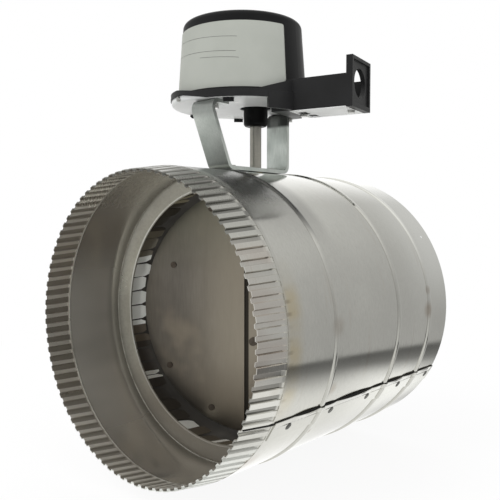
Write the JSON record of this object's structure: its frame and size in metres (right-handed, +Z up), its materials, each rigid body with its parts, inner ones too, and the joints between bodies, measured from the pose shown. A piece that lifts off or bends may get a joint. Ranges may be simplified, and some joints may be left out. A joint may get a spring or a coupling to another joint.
{
  "type": "automatic vent damper",
  "caption": "Round flue section with a crimped inlet, a leaf ring, a blade turning on a vertical shaft, and a geared motor actuator on a strap bracket above it.",
  "frame": {"origin": "centre of the plain outlet mouth of the duct", "axes": "+Y points out of the outlet along the duct, +Z up along the damper shaft towards the actuator, +X to the side of the wiring arm"},
  "size_m": [0.2322, 0.251, 0.3596],
  "materials": {
    "duct_steel": "dull coated sheet, faintly mottled, with heat tint near the crimps",
    "ring_steel": "dull sheet",
    "blade_steel": "heat-darkened sheet",
    "shaft_steel": "bright turned steel",
    "bracket_zinc": "zinc-plated strip",
    "fasteners": "zinc-plated",
    "motor_steel": "plated can",
    "white_metal": "pale semi-gloss sheet",
    "black_plastic": "moulded, satin, lightly dusty",
    "nylon": "natural moulded nylon",
    "board_laminate": "lacquered laminate",
    "brass": "turned"
  },
  "bodies": {
    "damper_body": {"duct_shell": "duct_steel", "seam_rivets": "fasteners", "leaf_ring": "ring_steel", "upper_bushing": "brass", "lower_bushing": "brass", "mounting_bracket": "bracket_zinc", "bracket_rivets": "fasteners", "bracket_screws": "fasteners", "base_pan": "white_metal", "arm_housing": "black_plastic", "arm_floor_plate": "white_metal", "arm_floor_screws": "fasteners", "pan_wall_screws": "fasteners", "actuator_cover": "black_plastic", "cover_screws": "fasteners", "lower_gear_plate": "bracket_zinc", "gear_posts": "fasteners", "upper_gear_plate": "bracket_zinc", "gear_plate_screws": "fasteners", "gear_motor": "motor_steel", "motor_screws": "fasteners", "idler_pin": "fasteners", "closed_switch": "black_plastic", "open_switch": "black_plastic", "relay_board": "board_laminate", "board_relay": "nylon", "wire_terminals": "nylon", "board_bracket": "bracket_zinc", "board_screws": "fasteners"},
    "blade_assembly": {"damper_shaft": "shaft_steel", "blade_disc": "blade_steel", "blade_half_plate": "blade_steel", "blade_rivets": "blade_steel", "blade_screws": "fasteners", "shaft_coupling": "black_plastic", "coupling_set_screw": "fasteners", "output_shaft": "shaft_steel", "output_gear": "nylon", "switch_cam": "nylon", "shaft_clip": "fasteners"},
    "idler": {"idler_gear": "nylon"},
    "pinion": {"motor_pinion": "brass"},
    "closed_lever": {"closed_switch_lever": "shaft_steel"},
    "open_lever": {"open_switch_lever": "shaft_steel"}
  },
  "joints": [
    {"name": "blade_turn", "type": "hinge", "parent": "damper_body", "child": "blade_assembly", "pos_m": [0, -0.121, 0], "axis": [0, 0, 1], "range_deg": [-18, 72]},
    {"name": "idler_turn", "type": "hinge", "parent": "damper_body", "child": "idler", "pos_m": [-0.01397, -0.14867, 0.185], "axis": [0, 0, 1], "range_deg": [-248, 63]},
    {"name": "pinion_turn", "type": "hinge", "parent": "damper_body", "child": "pinion", "pos_m": [-0.03294, -0.13239, 0.188], "axis": [0, 0, 1], "range_deg": [-160, 636]},
    {"name": "closed_lever_turn", "type": "hinge", "parent": "damper_body", "child": "closed_lever", "pos_m": [0.01587, -0.12222, 0.195], "axis": [0, 0, 1], "range_deg": [0, 6], "stiffness_Nm_per_rad": 0.02},
    {"name": "open_lever_turn", "type": "hinge", "parent": "damper_body", "child": "open_lever", "pos_m": [0.00122, -0.10513, 0.195], "axis": [0, 0, 1], "range_deg": [0, 6], "stiffness_Nm_per_rad": 0.02}
  ],
  "couplings": [
    {"joint": "idler_turn", "follows": "blade_turn", "ratio": -3.4286},
    {"joint": "pinion_turn", "follows": "blade_turn", "ratio": 8.8163}
  ]
}
